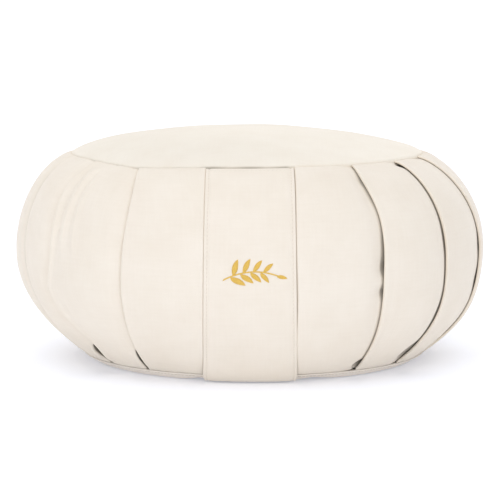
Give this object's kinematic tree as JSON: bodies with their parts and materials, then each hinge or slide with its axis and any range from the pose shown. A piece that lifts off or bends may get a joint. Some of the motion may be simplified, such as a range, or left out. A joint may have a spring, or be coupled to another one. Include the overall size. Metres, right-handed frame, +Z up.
{
  "type": "zafu meditation cushion",
  "caption": "Round firm floor cushion with a crowned top, a bulging knife-pleated side and a plain stitched front panel, for sitting in meditation.",
  "frame": {"origin": "on the floor, on the base panel's flat underside, straight below the middle of the top panel", "axes": "+Z up out of the top, -Y out of the front panel, +X to the right of someone who looks at the front panel"},
  "size_m": [0.3482, 0.3468, 0.1718],
  "materials": {
    "pleated_canvas": "matt plain-woven cotton in natural cream",
    "top_canvas": "matt plain-woven cotton in natural cream",
    "base_canvas": "matt plain-woven cotton in natural cream",
    "panel_canvas": "matt plain-woven cotton in natural cream, with a small gold satin-stitched sprig",
    "gold_thread": "lustrous gold embroidery thread",
    "cream_thread": "matt cream sewing thread"
  },
  "bodies": {
    "root": {"pleated_side": "pleated_canvas", "top_panel": "top_canvas", "base_panel": "base_canvas", "front_panel": "panel_canvas"}
  },
  "joints": []
}
